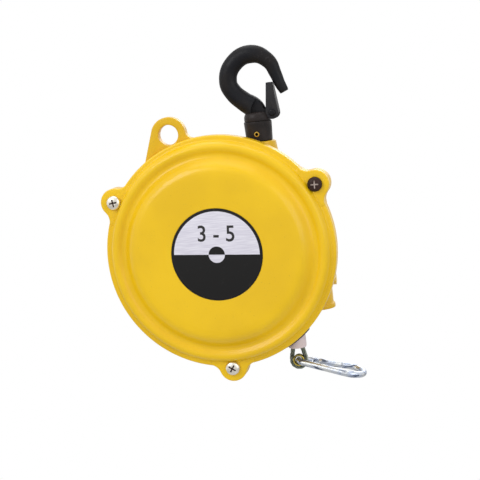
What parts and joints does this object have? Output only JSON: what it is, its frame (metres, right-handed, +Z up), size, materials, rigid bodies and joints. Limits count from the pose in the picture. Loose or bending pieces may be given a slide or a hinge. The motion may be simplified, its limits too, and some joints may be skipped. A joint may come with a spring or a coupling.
{
  "type": "spring tool balancer",
  "caption": "Hanging spring balancer: a sprung rope drum in a round two-part housing, with a swivel safety hook above and a wire rope with a spring clip below.",
  "frame": {"origin": "the point inside the top hook that rests on its support, on the swivel axis", "axes": "+Z up along the swivel axis, the round cover faces -Y, the rope leaves 10 mm to +X of the swivel axis"},
  "size_m": [0.1585, 0.0683, 0.2212],
  "materials": {
    "case_paint": "die-cast alloy with yellow semi-gloss paint",
    "case_lock_screw": "steel, painted over with the case",
    "zinc_steel": "bright zinc plate",
    "black_steel": "black finish, semi-gloss",
    "label_plate": "satin printed plate",
    "black_plastic": "black moulded plastic",
    "bronze": "sintered bronze",
    "brass_pin": "yellow passivated pin",
    "drum_alloy": "as-cast alloy",
    "wire_rope": "galvanised strands",
    "spring_steel": "oiled spring steel",
    "grey_rubber": "warm grey rubber",
    "yellow_zinc": "yellow passivated zinc"
  },
  "bodies": {
    "housing": {"rear_case": "case_paint", "front_cover": "case_paint", "cover_screws": "zinc_steel", "cover_screw_dark": "black_steel", "label_plate": "label_plate", "wire_guide": "black_plastic", "front_bush": "bronze", "rear_bush": "bronze", "worm_bush": "bronze", "worm_lock_screw": "case_lock_screw"},
    "suspension": {"top_hook": "black_steel", "swivel_stud": "black_steel", "hook_pin": "brass_pin", "swivel_washer": "zinc_steel", "swivel_nut": "zinc_steel", "latch_pin": "black_steel"},
    "latch": {"hook_latch": "black_steel"},
    "drum": {"rope_drum": "drum_alloy", "wound_rope": "wire_rope", "spring_plate": "zinc_steel", "plate_screws": "zinc_steel", "drum_bush": "bronze", "mainspring": "spring_steel"},
    "adjuster": {"arbor": "spring_steel", "wheel_key": "spring_steel", "worm_wheel": "bronze"},
    "worm": {"worm": "spring_steel"},
    "wire_end": {"lead_rope": "wire_rope", "rope_stopper": "grey_rubber", "crimp_sleeve": "drum_alloy", "rope_eye": "wire_rope", "eye_thimble": "yellow_zinc"},
    "carabiner": {"carabiner": "zinc_steel", "gate_pin": "zinc_steel"},
    "gate": {"carabiner_gate": "zinc_steel"}
  },
  "joints": [
    {"name": "hook_swivel", "type": "hinge", "parent": "housing", "child": "suspension", "pos_m": [0, 0, -0.05], "axis": [0, 0, 1], "continuous": true},
    {"name": "latch_hinge", "type": "hinge", "parent": "suspension", "child": "latch", "pos_m": [0.0106, 0, -0.0324], "axis": [0, 1, 0], "range_deg": [-32, 0], "stiffness_Nm_per_rad": 0.03, "springref_deg": 28.65},
    {"name": "drum_spin", "type": "hinge", "parent": "housing", "child": "drum", "pos_m": [-0.03, 0, -0.117], "axis": [0, 1, 0], "range_deg": [0, 1655], "stiffness_Nm_per_rad": 0.03, "springref_deg": -2062.65, "deforming": ["mainspring", "wound_rope"]},
    {"name": "wire_pull", "type": "slide", "parent": "housing", "child": "wire_end", "axis": [0, 0, -1], "range_m": [0, 1.3], "deforming": ["lead_rope"]},
    {"name": "carabiner_swing", "type": "hinge", "parent": "wire_end", "child": "carabiner", "pos_m": [0.01, 0, -0.1956], "axis": [0, 1, 0], "range_deg": [-45, 149]},
    {"name": "gate_hinge", "type": "hinge", "parent": "carabiner", "child": "gate", "pos_m": [0.02014, 0.00606, -0.19845], "axis": [-0.2706, 0, -0.9627], "range_deg": [0, 25], "stiffness_Nm_per_rad": 0.005, "springref_deg": -34.38},
    {"name": "adjuster_turn", "type": "hinge", "parent": "housing", "child": "adjuster", "pos_m": [-0.03, 0, -0.117], "axis": [0, 1, 0], "range_deg": [0, 720]},
    {"name": "worm_turn", "type": "hinge", "parent": "housing", "child": "worm", "pos_m": [0.0235, 0.0265, -0.117], "axis": [0, 0, 1], "range_deg": [0, 46080]}
  ],
  "couplings": [
    {"joint": "wire_pull", "follows": "drum_spin", "m_per_rad": 0.045},
    {"joint": "worm_turn", "follows": "adjuster_turn", "ratio": 64}
  ]
}
